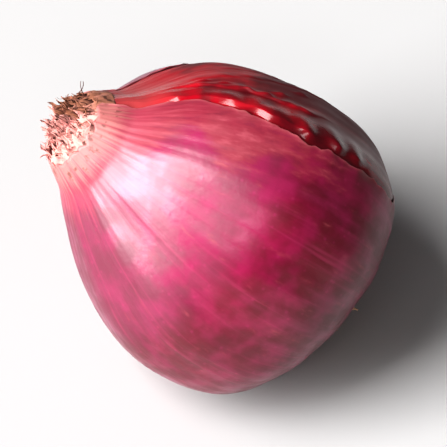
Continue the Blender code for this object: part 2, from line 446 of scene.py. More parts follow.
def mesh_piece(
    name: str, places: np.ndarray, faces: list[list[int]], fields: dict[str, np.ndarray]
) -> bpy.types.Object:
    """Makes a smooth mesh object in the scene.

    Args:
        name: The object's name.
        places: The mesh's points.
        faces: Point numbers of each face.
        fields: A value or vector for each point, which the finish reads by name.

    Returns:
        The object.
    """
    mesh = bpy.data.meshes.new(name)
    mesh.from_pydata(places.tolist(), [], faces)
    for label, values in fields.items():
        kind, key = ("FLOAT_VECTOR", "vector") if values.ndim > 1 else ("FLOAT", "value")
        stored = mesh.attributes.new(label, kind, "POINT")
        stored.data.foreach_set(key, values.reshape(-1).astype(np.float32))
    mesh.polygons.foreach_set("use_smooth", [True] * len(mesh.polygons))
    mesh.update()
    made = bpy.data.objects.new(name, mesh)
    bpy.context.scene.collection.objects.link(made)
    return made


def grid_piece(
    name: str,
    points: np.ndarray,
    fields: dict[str, np.ndarray],
    closed: bool = True,
    poles: Optional[np.ndarray] = None,
) -> bpy.types.Object:
    """Makes a smooth mesh object from a grid of points.

    Rows run from the roots to the neck and columns run round the axis, so that the faces look outwards.

    Args:
        name: The object's name.
        points: Places, of shape rows by columns by 3.
        fields: A value or vector for each point, rows by columns, which the finish reads by name.
        closed: Whether the last column joins the first.
        poles: Two points, which close the first row and the last, or None for a sheet.

    Returns:
        The object.
    """
    rows, columns = points.shape[:2]
    places = points.reshape(-1, 3)
    faces = grid_quads(rows, columns, closed).tolist()
    stored = {label: values.reshape(-1, *values.shape[2:]) for label, values in fields.items()}
    if poles is not None:
        ring = np.arange(columns)
        following = np.roll(ring, -1)
        last = (rows - 1) * columns
        foot = np.full(columns, len(places))
        faces += np.stack([following, ring, foot], axis=-1).tolist()
        faces += np.stack([last + ring, last + following, foot + 1], axis=-1).tolist()
        places = np.concatenate([places, poles])
        for label, values in fields.items():
            stored[label] = np.concatenate([stored[label], values[[0, -1]].mean(axis=1)])
    return mesh_piece(name, places, faces, stored)


def tube_piece(
    name: str, spines: np.ndarray, radii: np.ndarray, sides: int, fields: dict[str, np.ndarray]
) -> bpy.types.Object:
    """Makes many thin round tubes as one mesh object.

    Each ring is a circle square to its spine: the spine's tangent crossed with a fixed side direction gives
    one arm, and the tangent crossed with that arm gives the other.

    Args:
        name: The object's name.
        spines: Places along each tube, of shape tubes by rings by 3.
        radii: The radius at each place, of shape tubes by rings.
        sides: Corners of each ring.
        fields: Values for each place, of shape tubes by rings, which the finish reads by name.

    Returns:
        The object, with both ends of each tube closed.
    """
    tubes, rings = radii.shape
    tangents = normalised(np.gradient(spines, axis=1))
    first = tangents[:, :1, :]
    upright = np.abs(first[..., 2:3]) >= 0.8
    helper = np.where(upright, np.array([1.0, 0.0, 0.0]), np.array([0.0, 0.0, 1.0]))
    side = normalised(np.cross(first, helper))
    one = normalised(np.cross(tangents, np.broadcast_to(side, tangents.shape)))
    other = np.cross(tangents, one)
    turns = TURN * np.arange(sides)[:, None] / sides
    circle = one[:, :, None, :] * np.cos(turns) + other[:, :, None, :] * np.sin(turns)
    points = spines[:, :, None, :] + circle * radii[:, :, None, None]
    starts = np.arange(tubes)[:, None] * rings * sides
    faces = (starts[..., None] + grid_quads(rings, sides, True)).reshape(-1, 4).tolist()
    faces += (starts + np.arange(sides)[::-1]).tolist()
    faces += (starts + (rings - 1) * sides + np.arange(sides)).tolist()
    stored = {label: np.repeat(values.reshape(-1), sides) for label, values in fields.items()}
    return mesh_piece(name, points.reshape(-1, 3), faces, stored)


def thicken(piece: bpy.types.Object, thickness: float) -> None:
    """Gives a sheet its thickness, inwards from the face that shows.

    Args:
        piece: The sheet's object.
        thickness: How thick it is, in metres.
    """
    wall = piece.modifiers.new("thickness", "SOLIDIFY")
    wall.thickness = thickness
    wall.offset = -1.0
    wall.use_even_offset = False


def settle(piece: bpy.types.Object, node: Node, material: bpy.types.Material) -> None:
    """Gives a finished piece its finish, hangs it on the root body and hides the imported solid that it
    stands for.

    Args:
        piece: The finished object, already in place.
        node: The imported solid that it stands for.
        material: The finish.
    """
    piece.data.materials.append(material)
    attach(piece, "root")
    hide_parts(node.value)
    LOG.info("%s: %d faces", piece.name, len(piece.data.polygons))


@dataclass
class Growth:
    """What the onion's sub-assemblies share.

    Attributes:
        form: The bulb's form.
        pose: How it lies.
    """

    form: BulbForm
    pose: BulbPose

    def laid(self, points: np.ndarray) -> np.ndarray:
        """Points about the turned axis, moved as the onion grew and into the frame."""
        return self.pose.placed(self.form.grown(points))

    def poles(self, first: float, last: float) -> np.ndarray:
        """The two points on the axis at these heights, in the frame."""
        return self.laid(np.array([[0.0, 0.0, first], [0.0, 0.0, last]]))


def disc(radius: float, rings: int, columns: int) -> tuple[np.ndarray, np.ndarray, np.ndarray]:
    """A flat disc as a grid of rings round a middle point that the grid leaves out.

    Args:
        radius: The outermost ring's radius.
        rings: How many steps there are from the middle to it, plus one.
        columns: Points in each ring.

    Returns:
        Each ring's share of the radius, the columns' angles, and every point's x and y.
    """
    out = np.linspace(0.0, 1.0, rings)[1:, None]
    around = (TURN * np.arange(columns) / columns)[None, :]
    return out, around, about_axis(around, radius * out, 0.0)[..., :2]


def strands(
    foot: np.ndarray, way: np.ndarray, bend: np.ndarray, wriggle: np.ndarray, length: np.ndarray
) -> np.ndarray:
    """Spines of fine strands, each summed from steps that start in one direction and bend to another.

    Args:
        foot: Where each strand starts.
        way: The direction that it starts in.
        bend: What is added to that direction at each of its rings.
        wriggle: What is added to each step, as a share of its length.
        length: How long each strand is.

    Returns:
        Places along each strand, of shape strands by rings by 3.
    """
    steps = normalised(way[:, None, :] + bend) + wriggle
    steps = steps * (length / bend.shape[1])[:, None, None]
    return foot[:, None, :] + np.cumsum(steps, axis=1) - steps[:, :1, :]


class Desk:
    """Lays the nodes of one material and links them.

    A value handed to a method is either a number or colour, which is set on the socket, or another node's
    output, which is linked to it.
    """

    def __init__(self, name: str) -> None:
        """Starts a material with a Principled BSDF.

        Args:
            name: The material's name.
        """
        self.material = bpy.data.materials.new(name)
        self.material.use_nodes = True
        self.tree = self.material.node_tree
        self.shader = self.tree.nodes["Principled BSDF"]

    def put(self, socket: Any, value: Any) -> None:
        """Links an output to a socket, or sets the socket to a number or colour.

        Args:
            socket: The input.
            value: The output, number or colour.
        """
        if isinstance(value, bpy.types.NodeSocket):
            self.tree.links.new(value, socket)
        elif isinstance(value, tuple) and len(value) == 3 and socket.type == "RGBA":
            socket.default_value = (*value, 1.0)
        else:
            socket.default_value = value

    def node(self, kind: str, inputs: dict[Any, Any], **settings: Any) -> bpy.types.Node:
        """Adds a node.

        Args:
            kind: Its type name, without the leading ShaderNode.
            inputs: Values for its inputs, by name or number.
            settings: Its other properties.

        Returns:
            The node.
        """
        made = self.tree.nodes.new("ShaderNode" + kind)
        for label, value in settings.items():
            setattr(made, label, value)
        for label, value in inputs.items():
            self.put(made.inputs[label], value)
        return made

    def place(self) -> Any:
        """The piece's own coordinates, in metres."""
        return self.node("TexCoord", {}).outputs["Object"]

    def field(self, name: str) -> Any:
        """A value stored on the mesh's points."""
        return self.node("Attribute", {}, attribute_name=name).outputs["Fac"]

    def noise(self, vector: Any, scale: float, detail: float, rough: float = 0.5, warp: float = 0.0) -> Any:
        """Cloudy noise, from about 0.3 to 0.7."""
        inputs = {"Vector": vector, "Scale": scale, "Detail": detail, "Roughness": rough, "Distortion": warp}
        return self.node("TexNoise", inputs).outputs["Fac"]

    def lengthwise(
        self, round_scale: float, along_scale: float, detail: float, rough: float = 0.5, warp: float = 0.0
    ) -> Any:
        """Noise that is stretched along the meridians, without a seam.

        Args:
            round_scale: Radius of the circle that the pattern is wrapped on.
            along_scale: Length of the pattern over one equator radius.
            detail: How fine it goes.
            rough: How strong its fine part is.
            warp: How much it is distorted.

        Returns:
            Noise over the mesh's grain vector, scaled: the circle's two coordinates and the place along.
        """
        grain = self.node("Attribute", {}, attribute_name="grain").outputs["Vector"]
        scale = (round_scale, round_scale, along_scale)
        scaled = self.node("VectorMath", {0: grain, 1: scale}, operation="MULTIPLY").outputs[0]
        return self.noise(scaled, 1.0, detail, rough, warp)

    def cells(self, vector: Any, scale: float) -> Any:
        """Distance to the nearest of scattered points."""
        return self.node("TexVoronoi", {"Vector": vector, "Scale": scale}).outputs["Distance"]

    def math(self, operation: str, first: Any, second: Any = 0.0, third: Any = 0.0) -> Any:
        """One arithmetic step."""
        return self.node("Math", {0: first, 1: second, 2: third}, operation=operation).outputs[0]

    def times(self, first: Any, second: Any) -> Any:
        """One value times another."""
        return self.math("MULTIPLY", first, second)

    def plus(self, first: Any, second: Any) -> Any:
        """One value plus another."""
        return self.math("ADD", first, second)

    def swing(self, pattern: Any, gain: float) -> Any:
        """How far a pattern is from its middle value, a half, times a gain."""
        return self.times(self.math("SUBTRACT", pattern, 0.5), gain)

    def spread(self, value: Any, low: float, high: float, to_low: float = 0.0, to_high: float = 1.0) -> Any:
        """A smooth step between two values, clamped to its ends."""
        inputs = {"Value": value, "From Min": low, "From Max": high, "To Min": to_low, "To Max": to_high}
        return self.node("MapRange", inputs, interpolation_type="SMOOTHSTEP").outputs[0]

    def mix(self, share: Any, under: Any, over: Any) -> Any:
        """One colour over another.

        Args:
            share: How much of the upper one shows, from zero to one.
            under: The lower colour.
            over: The upper colour.

        Returns:
            The mixed colour: each channel goes from the lower to the upper by the share.
        """
        made = self.node("Mix", {0: share}, data_type="RGBA", blend_type="MIX")
        self.put(made.inputs[6], under)
        self.put(made.inputs[7], over)
        return made.outputs[2]

    def layered(self, colour: Any, layers: list[tuple[Any, Colour]]) -> Any:
        """A colour under layers of others.

        Args:
            colour: The lowest colour.
            layers: Each layer's share and its colour, from the lowest up.

        Returns:
            The colour with every layer mixed over it in turn.
        """
        for share, over in layers:
            colour = self.mix(share, colour, over)
        return colour

    def bump(self, height: Any, distance: float, strength: float = 1.0, under: Any = None) -> Any:
        """A normal that follows a height.

        Args:
            height: The height, in units of the distance.
            distance: How far one unit lifts the surface.
            strength: How much of the effect shows, from zero to one.
            under: Another normal that this one adds to.

        Returns:
            The normal, tilted by the height's slope.
        """
        inputs = {"Height": height, "Distance": distance, "Strength": strength}
        if under is not None:
            inputs["Normal"] = under
        return self.node("Bump", inputs).outputs[0]

    def finish(self, **sockets: Any) -> bpy.types.Material:
        """Sets the shader's sockets.

        Args:
            sockets: Values for them, named with underscores for spaces.

        Returns:
            The material.
        """
        for label, value in sockets.items():
            self.put(self.shader.inputs[label.replace("_", " ")], value)
        return self.material


@dataclass(frozen=True)
class SkinFinish:
    """The outer skin: satin magenta paper, mottled and finely veined, drier and paler at its ends and edge.

    Attributes:
        magenta: The skin's main colour.
        deep: Its darker stretches, and the painted shade away from the camera's side and low down on it.
        pale: Its pale mottling.
        painted_sheen: Painted sheen: a milky pink halo on its upper part, round the highlight.
        salmon: The dry band beside the tear.
        fleck: The band's pale flecks.
        stain: The specks at the neck.
        flush: The foot of the neck, where it pales.
        cream: The papery end at the neck.
        tan: The ring round the roots.
        roughness: How rough it is at the smoothest and the roughest.
    """

    magenta: Colour = (0.250, 0.0015, 0.040)
    deep: Colour = (0.110, 0.0005, 0.010)
    pale: Colour = (0.380, 0.022, 0.116)
    painted_sheen: Colour = (0.330, 0.062, 0.170)
    salmon: Colour = (0.265, 0.020, 0.038)
    fleck: Colour = (0.430, 0.080, 0.112)
    stain: Colour = (0.110, 0.026, 0.018)
    flush: Colour = (0.330, 0.042, 0.072)
    cream: Colour = (0.440, 0.150, 0.140)
    tan: Colour = (0.34, 0.160, 0.090)
    roughness: tuple[float, float] = (0.29, 0.40)

    def material(self) -> bpy.types.Material:
        """Makes the material.

        Returns:
            The material, its colours laid over each other by patterns and by the mesh's own values.
        """
        desk = Desk("outer_skin")
        place = desk.place()
        streaks = desk.lengthwise(8.0, 1.6, 3.0, 0.55)
        veins = desk.lengthwise(24.0, 1.3, 2.0)
        flecks = desk.lengthwise(20.0, 8.0, 3.0, 0.6)
        clouds = desk.noise(place, 400.0, 3.0)
        specks = desk.spread(desk.noise(place, 1300.0, 2.0, 0.55), 0.54, 0.64)
        ragged = desk.swing(flecks, 1.8)
        # The depth field is painted shade: darker low down on the side that faces the camera and on the sides
        # away from it.
        shade = desk.plus(desk.math("MULTIPLY_ADD", clouds, 0.75, 0.125), desk.field("depth"))
        shade = desk.plus(shade, desk.swing(streaks, 0.5))
        dry = desk.spread(desk.plus(desk.field("dry"), ragged), 0.10, 1.0, 0.0, 0.85)
        foot = desk.spread(desk.plus(desk.field("foot"), ragged), 0.40, 0.80)
        upper = desk.plus(desk.field("neck"), desk.swing(veins, 0.8))
        neck = desk.spread(upper, 0.55, 1.0)
        colour = desk.layered(
            self.magenta,
            [
                # Painted shade and random mottling, laid in with the deep colour.
                (desk.spread(shade, 0.22, 0.94), self.deep),
                (desk.spread(clouds, 0.62, 0.28, 0.0, 0.24), self.pale),
                # Painted sheen: a milky pink halo over the upper part, round the highlight.
                (desk.spread(desk.field("belly"), 0.34, 0.0, 0.0, 0.17), self.painted_sheen),
                (desk.spread(streaks, 0.50, 0.80, 0.0, 0.34), self.pale),
                (desk.spread(veins, 0.54, 0.78, 0.0, 0.22), self.pale),
                (desk.spread(desk.cells(place, 900.0), 0.22, 0.05, 0.0, 0.22), self.pale),
                (dry, self.salmon),
                (desk.times(dry, desk.spread(flecks, 0.50, 0.72, 0.0, 0.50)), self.fleck),
                (desk.times(dry, desk.spread(flecks, 0.50, 0.32, 0.0, 0.40)), self.deep),
                (desk.spread(upper, 0.05, 0.60, 0.0, 0.85), self.flush),
                (neck, self.cream),
                (desk.times(desk.spread(neck, 0.55, 1.0, 0.0, 0.7), specks), self.stain),
                (foot, self.tan),
                (desk.times(desk.field("rim"), 0.35), self.cream),
            ],
        )
        papery = desk.math("MAXIMUM", desk.math("MAXIMUM", dry, neck), foot)
        rough = desk.plus(desk.spread(clouds, 0.35, 0.65, *self.roughness), desk.times(papery, 0.20))
        normal = desk.bump(veins, 0.04 * MM, 0.4)
        normal = desk.bump(desk.noise(place, 1500.0, 3.0, 0.55), 0.03 * MM, 0.6, normal)
        return desk.finish(
            Base_Color=colour, Roughness=rough, Normal=normal, IOR=1.46, Specular_IOR_Level=0.74
        )


@dataclass(frozen=True)
class ScaleFinish:
    """The fleshy inner scale that shows through the tear: moist, glossy and deep red.

    Attributes:
        red: Its main colour.
        dark: Its dark stretches.
        bright: The veins.
        salmon: Its paler end by the neck.
        brown: Its dried tip inside the neck.
        roughness: How rough it is where it is dry, at the smoothest and the roughest.
        wetness: How much smoother it is where it is moist.
    """

    red: Colour = (0.310, 0.0015, 0.010)
    dark: Colour = (0.090, 0.001, 0.005)
    bright: Colour = (0.400, 0.010, 0.020)
    salmon: Colour = (0.340, 0.042, 0.046)
    brown: Colour = (0.070, 0.030, 0.016)
    roughness: tuple[float, float] = (0.60, 0.72)
    wetness: float = 0.49

    def material(self) -> bpy.types.Material:
        """Makes the material.

        Returns:
            The material, its colours laid over each other by patterns and by the mesh's own values.
        """
        desk = Desk("inner_scale")
        place = desk.place()
        streaks = desk.lengthwise(16.0, 1.2, 3.0, 0.55)
        clouds = desk.noise(place, 260.0, 3.0, 0.5, 0.4)
        shade = desk.plus(clouds, desk.times(desk.field("belly"), 0.30))
        veins = desk.times(desk.spread(streaks, 0.52, 0.70), desk.spread(shade, 0.80, 0.40, 0.1, 0.6))
        upper = desk.plus(desk.field("neck"), desk.swing(streaks, 0.8))
        colour = desk.layered(
            self.red,
            [
                (desk.spread(shade, 0.40, 0.70), self.dark),
                (veins, self.bright),
                (desk.spread(upper, 0.15, 0.85), self.salmon),
                (desk.field("tip"), self.brown),
            ],
        )
        dull = desk.spread(clouds, 0.3, 0.7, *self.roughness)
        return desk.finish(
            Base_Color=colour,
            Roughness=desk.math("SUBTRACT", dull, desk.times(desk.field("moist"), self.wetness)),
            Normal=desk.bump(desk.noise(place, 700.0, 2.0, 0.55), 0.05 * MM, 0.4),
            IOR=1.40,
            Specular_IOR_Level=0.6,
        )


@dataclass(frozen=True)
class PaperFinish:
    """The dried leaf ends: cream paper, faintly pink at its foot, tan and darker deeper in the neck and on
    one side, with dark specks.

    Attributes:
        cream: The paper's main colour.
        pink: Its foot, next to the skin.
        tan: Its darker stretches, deeper in the neck.
        speck: The specks and the core.
    """

    cream: Colour = (0.660, 0.310, 0.275)
    pink: Colour = (0.560, 0.200, 0.190)
    tan: Colour = (0.300, 0.115, 0.065)
    speck: Colour = (0.070, 0.016, 0.010)

    def material(self) -> bpy.types.Material:
        """Makes the material.

        Returns:
            The material, its colours laid over each other by patterns and by the mesh's own values.
        """
        desk = Desk("dried_leaf_ends")
        place = desk.place()
        clouds = desk.noise(place, 800.0, 4.0, 0.6, 0.5)
        fibres = desk.lengthwise(14.0, 3.0, 4.0, 0.6, 0.2)
        darkening = desk.plus(desk.field("along"), clouds)
        colour = desk.layered(
            self.cream,
            [
                (desk.spread(clouds, 0.45, 0.70), self.pink),
                (desk.spread(darkening, 1.15, 1.90), self.tan),
                (desk.spread(darkening, 1.95, 2.40), self.speck),
                (desk.spread(desk.noise(place, 1500.0, 2.0, 0.55), 0.55, 0.63, 0.0, 0.8), self.speck),
            ],
        )
        normal = desk.bump(clouds, 0.10 * MM, 0.5, desk.bump(fibres, 0.16 * MM, 0.7))
        return desk.finish(Base_Color=colour, Roughness=0.72, Normal=normal, IOR=1.45)


@dataclass(frozen=True)
class RootFinish:
    """The root plate and rootlets: dull tan cork, darker in cloudy patches and paler at the thin ends.

    Attributes:
        name: The material's name.
        tan: The main colour.
        dark: Its darker cloudy patches.
        pale: The thin ends.
    """

    name: str
    tan: Colour = (0.46, 0.225, 0.105)
    dark: Colour = (0.14, 0.050, 0.022)
    pale: Colour = (0.66, 0.400, 0.230)

    def material(self) -> bpy.types.Material:
        """Makes the material.

        Returns:
            The material, its colours laid over each other by patterns and by the mesh's own values.
        """
        desk = Desk(self.name)
        place = desk.place()
        clouds = desk.noise(place, 900.0, 4.0, 0.6, 0.3)
        thin = desk.spread(desk.field("along"), 0.15, 0.9)
        colour = desk.layered(self.tan, [(desk.spread(clouds, 0.40, 0.64), self.dark), (thin, self.pale)])
        normal = desk.bump(clouds, 0.12 * MM, 0.9)
        return desk.finish(Base_Color=colour, Roughness=0.85, Normal=normal, IOR=1.45)


@dataclass(frozen=True)
class FloorFinish:
    """The plain pale floor.

    Attributes:
        white: Its colour.
    """

    white: Colour = (0.435, 0.43, 0.43)

    def material(self) -> bpy.types.Material:
        """Makes the material."""
        return Desk("pale_floor").finish(Base_Color=self.white, Roughness=0.7)


@dataclass(frozen=True)
class Tear:
    """The window that has torn out of the outer skin, between a near edge and a far edge.

    Attributes:
        near_low: Angle of the near edge at the equator and below.
        near_high: Its angle at the neck.
        far: Angle of the far edge.
        low: Height where the window starts to open above the base.
        open_above: Height where it is fully open.
        meeting: Where the edges meet below the window, as a share of its width.
        near_strays: How the near edge strays from its smooth line.
        far_strays: How the far edge strays.
    """

    near_low: float = math.radians(-4)
    near_high: float = math.radians(12)
    far: float = math.radians(74)
    low: float = -11.2 * MM
    open_above: float = -7.5 * MM
    meeting: float = 0.45
    near_strays: tuple[Ripple, Ripple] = (
        Ripple(21, 4.5 * MM, depth=0.16 * MM),
        Ripple(22, 1.2 * MM, depth=0.07 * MM),
    )
    far_strays: tuple[Ripple, Ripple] = (
        Ripple(23, 5.0 * MM, depth=0.40 * MM),
        Ripple(24, 1.3 * MM, depth=0.14 * MM),
    )

    def opened(self, height: np.ndarray) -> np.ndarray:
        """How far open the window is, from zero below it to one."""
        return smooth_step(height, self.low, self.open_above)

    def near(self, height: np.ndarray) -> np.ndarray:
        """Angle of the near edge's smooth line, which turns towards the far edge above the belly."""
        return turning(height, self.near_low, self.near_high)

    def smooth_edges(self, height: np.ndarray) -> tuple[np.ndarray, np.ndarray]:
        """The two edges' angles without raggedness. They meet below the window.

        Args:
            height: Heights along the axis.

        Returns:
            The near edge's angles and the far edge's.
        """
        near = self.near(height)
        middle = near + self.meeting * (self.far - near)
        share = self.opened(height)
        return middle + (near - middle) * share, middle + (self.far - middle) * share

    def ragged(self, height: np.ndarray, radius: np.ndarray) -> tuple[np.ndarray, np.ndarray]:
        """How far each torn edge strays from its smooth line.

        Args:
            height: Heights along the axis.
            radius: Radii there, which keep the raggedness the same length all along.

        Returns:
            Angles to add to the near edge, and to the far one.
        """
        line = height[..., None]
        share = self.opened(height) / radius
        near, far = (coarse(line) + fine(line) for coarse, fine in (self.near_strays, self.far_strays))
        return near * share, far * share


@dataclass(frozen=True)
class Fold:
    """A fold in the inner scale that runs lengthwise through the window, steep on the near side.

    Attributes:
        angle_low: Angle of its crest at the belly.
        angle_high: Angle of its crest at the neck.
        height: Its usual height.
        steep: Reach of the flank towards the near edge.
        easy: Reach of the other flank.
        low: Height along the axis where it has faded in fully.
        high: Height where it starts to fade out.
        seed: Picks how it varies along its length.
        wander: How far its crest meanders, and over what length.
        ends: How long it takes to fade in, and out.
    """

    angle_low: float
    angle_high: float
    height: float
    steep: float
    easy: float
    low: float
    high: float
    seed: int
    wander: tuple[float, float] = (0.16 * MM, 2.8 * MM)
    ends: tuple[float, float] = (5.0 * MM, 3.0 * MM)

    def lift(self, around: np.ndarray, radius: np.ndarray, height: np.ndarray) -> np.ndarray:
        """The fold's height: a straight ramp on the near side of the crest, half a bell curve on the other.

        The crest meanders and its height varies along it, so its ramp catches the light in short dashes.

        Args:
            around: Angles round the axis.
            radius: Radii there.
            height: Heights along the axis.

        Returns:
            How far the fold stands up.
        """
        line = height[..., None]
        crest = turning(height, self.angle_low, self.angle_high)
        depth, spacing = self.wander
        across = wrapped(around - crest) * radius - Ripple(self.seed, spacing, depth=depth)(line)
        ramp = np.clip(1.0 + across / self.steep, 0.0, 1.0)
        flank = np.where(across < 0.0, ramp, np.exp(-((across / self.easy) ** 2)))
        fade = smooth_step(height, self.low - self.ends[0], self.low)
        fade = fade * smooth_step(height, self.high + self.ends[1], self.high)
        vary = np.clip(0.85 + 0.24 * Ripple(self.seed + 1, 2.4 * MM)(line), 0.2, 1.4)
        return self.height * fade * vary * flank


@dataclass
class InnerScale(Growth):
    """The closed fleshy body under the skin, which shows through the tear.

    Attributes:
        tear: The window that it shows through.
        window_share: Share of the columns that cross the window.
        window_margin: How far past the window's edges they go on.
        inset: How far it lies below the skin's outside.
        short: How far below the neck's rim it ends.
        resting: Height of its own flat spot above the floor.
        moist_reach: How far from the tear's near edge it is moist.
        bands: Each colour band's name, with the heights where it starts and is full.
        wrinkles: Each wrinkle's angle in degrees and its height along the axis in millimetres.
        folds: The folds that run lengthwise, from the near edge on.
    """

    tear: Tear
    rows: int = 190
    columns: int = 460
    window_share: float = 0.72
    window_margin: float = math.radians(8)
    inset: float = 0.17 * MM
    short: float = 0.85 * MM
    resting: float = 0.16 * MM
    moist_reach: float = 4.8 * MM
    bands: tuple[tuple[str, float, float], ...] = (
        ("neck", 11.0 * MM, 18.0 * MM),
        ("tip", 17.6 * MM, 18.2 * MM),
        ("belly", 9.0 * MM, 0.0),
    )
    wrinkles: tuple[tuple[float, float], ...] = (
        (26.5, 11.8),
        (22.5, 10.4),
        (17.7, 8.9),
        (16.4, 7.1),
        (19.4, 5.6),
        (24.0, 3.4),
        (12.4, 4.6),
    )
    wrinkle_height: float = 0.24 * MM
    wrinkle_width: float = 0.24 * MM
    wrinkle_length: float = 0.55 * MM
    folds: tuple[Fold, ...] = (
        Fold(math.radians(-0.3), math.radians(16), 0.58 * MM, 0.56 * MM, 1.70 * MM, 0.5 * MM, 15.0 * MM, 31),
        Fold(math.radians(12), math.radians(27), 0.24 * MM, 0.23 * MM, 0.60 * MM, 5.0 * MM, 12.0 * MM, 37),
        Fold(math.radians(30), math.radians(30), 0.12 * MM, 0.30 * MM, 0.70 * MM, 2.0 * MM, 12.0 * MM, 33),
        Fold(math.radians(46), math.radians(40), 0.08 * MM, 0.22 * MM, 0.70 * MM, 0.0 * MM, 13.0 * MM, 35),
    )

    def turns(self) -> np.ndarray:
        """Angles of the columns from the near edge's line, most of them across the window.

        Returns:
            One row of angles: even steps across the window and its margins, and wider even steps on round.
        """
        wide = self.tear.far - self.tear.near_low + 2 * self.window_margin
        inside = int(self.columns * self.window_share)
        outside = self.columns - inside
        window = wide * np.arange(inside) / inside
        back = wide + (TURN - wide) * np.arange(outside) / outside
        return np.concatenate([window, back])[None, :] - self.window_margin

    def wrinkled(self, around: np.ndarray, radius: np.ndarray, height: np.ndarray) -> np.ndarray:
        """The small wrinkles above the folds: a bell curve round each one's place, longer than it is wide.

        Args:
            around: Angles round the axis.
            radius: Radii there.
            height: Heights along the axis.

        Returns:
            How far the wrinkles stand up.
        """
        lift = np.zeros_like(height)
        for angle, place in self.wrinkles:
            across = wrapped(around - math.radians(angle)) * radius / self.wrinkle_width
            lift += np.exp(-(across**2) - ((height - place * MM) / self.wrinkle_length) ** 2)
        return self.wrinkle_height * lift

    def build(self) -> None:
        """Makes the body: the bulb's form, inset, with folds that run beside the tear's near edge."""
        line, radii, heights = self.form.section()
        stations = np.linspace(0.0, line[-1] - self.short, self.rows + 1)[1:]
        radius = np.interp(stations, line, radii)[:, None]
        height = np.interp(stations, line, heights)[:, None]
        turns = self.turns()
        around = self.tear.near(height) + turns
        tall = height + 0.0 * turns
        fold = sum(each.lift(around, radius, tall) for each in self.folds)
        fold = fold + self.wrinkled(around, radius, tall)
        points = self.form.surface(around, radius, height, proud=fold - self.inset)
        fields = {name: smooth_step(tall, start, full) for name, start, full in self.bands}
        fields["moist"] = np.exp(-((turns * radius / self.moist_reach) ** 2))
        fields["grain"] = self.form.grain(around, tall)
        poles = self.poles(heights[0] + self.inset, height[-1, 0] - 0.3 * MM)
        placed = self.pose.placed(points, self.resting)
        piece = grid_piece("inner_scale", placed, fields, poles=poles)
        settle(piece, Node.BULB, ScaleFinish().material())


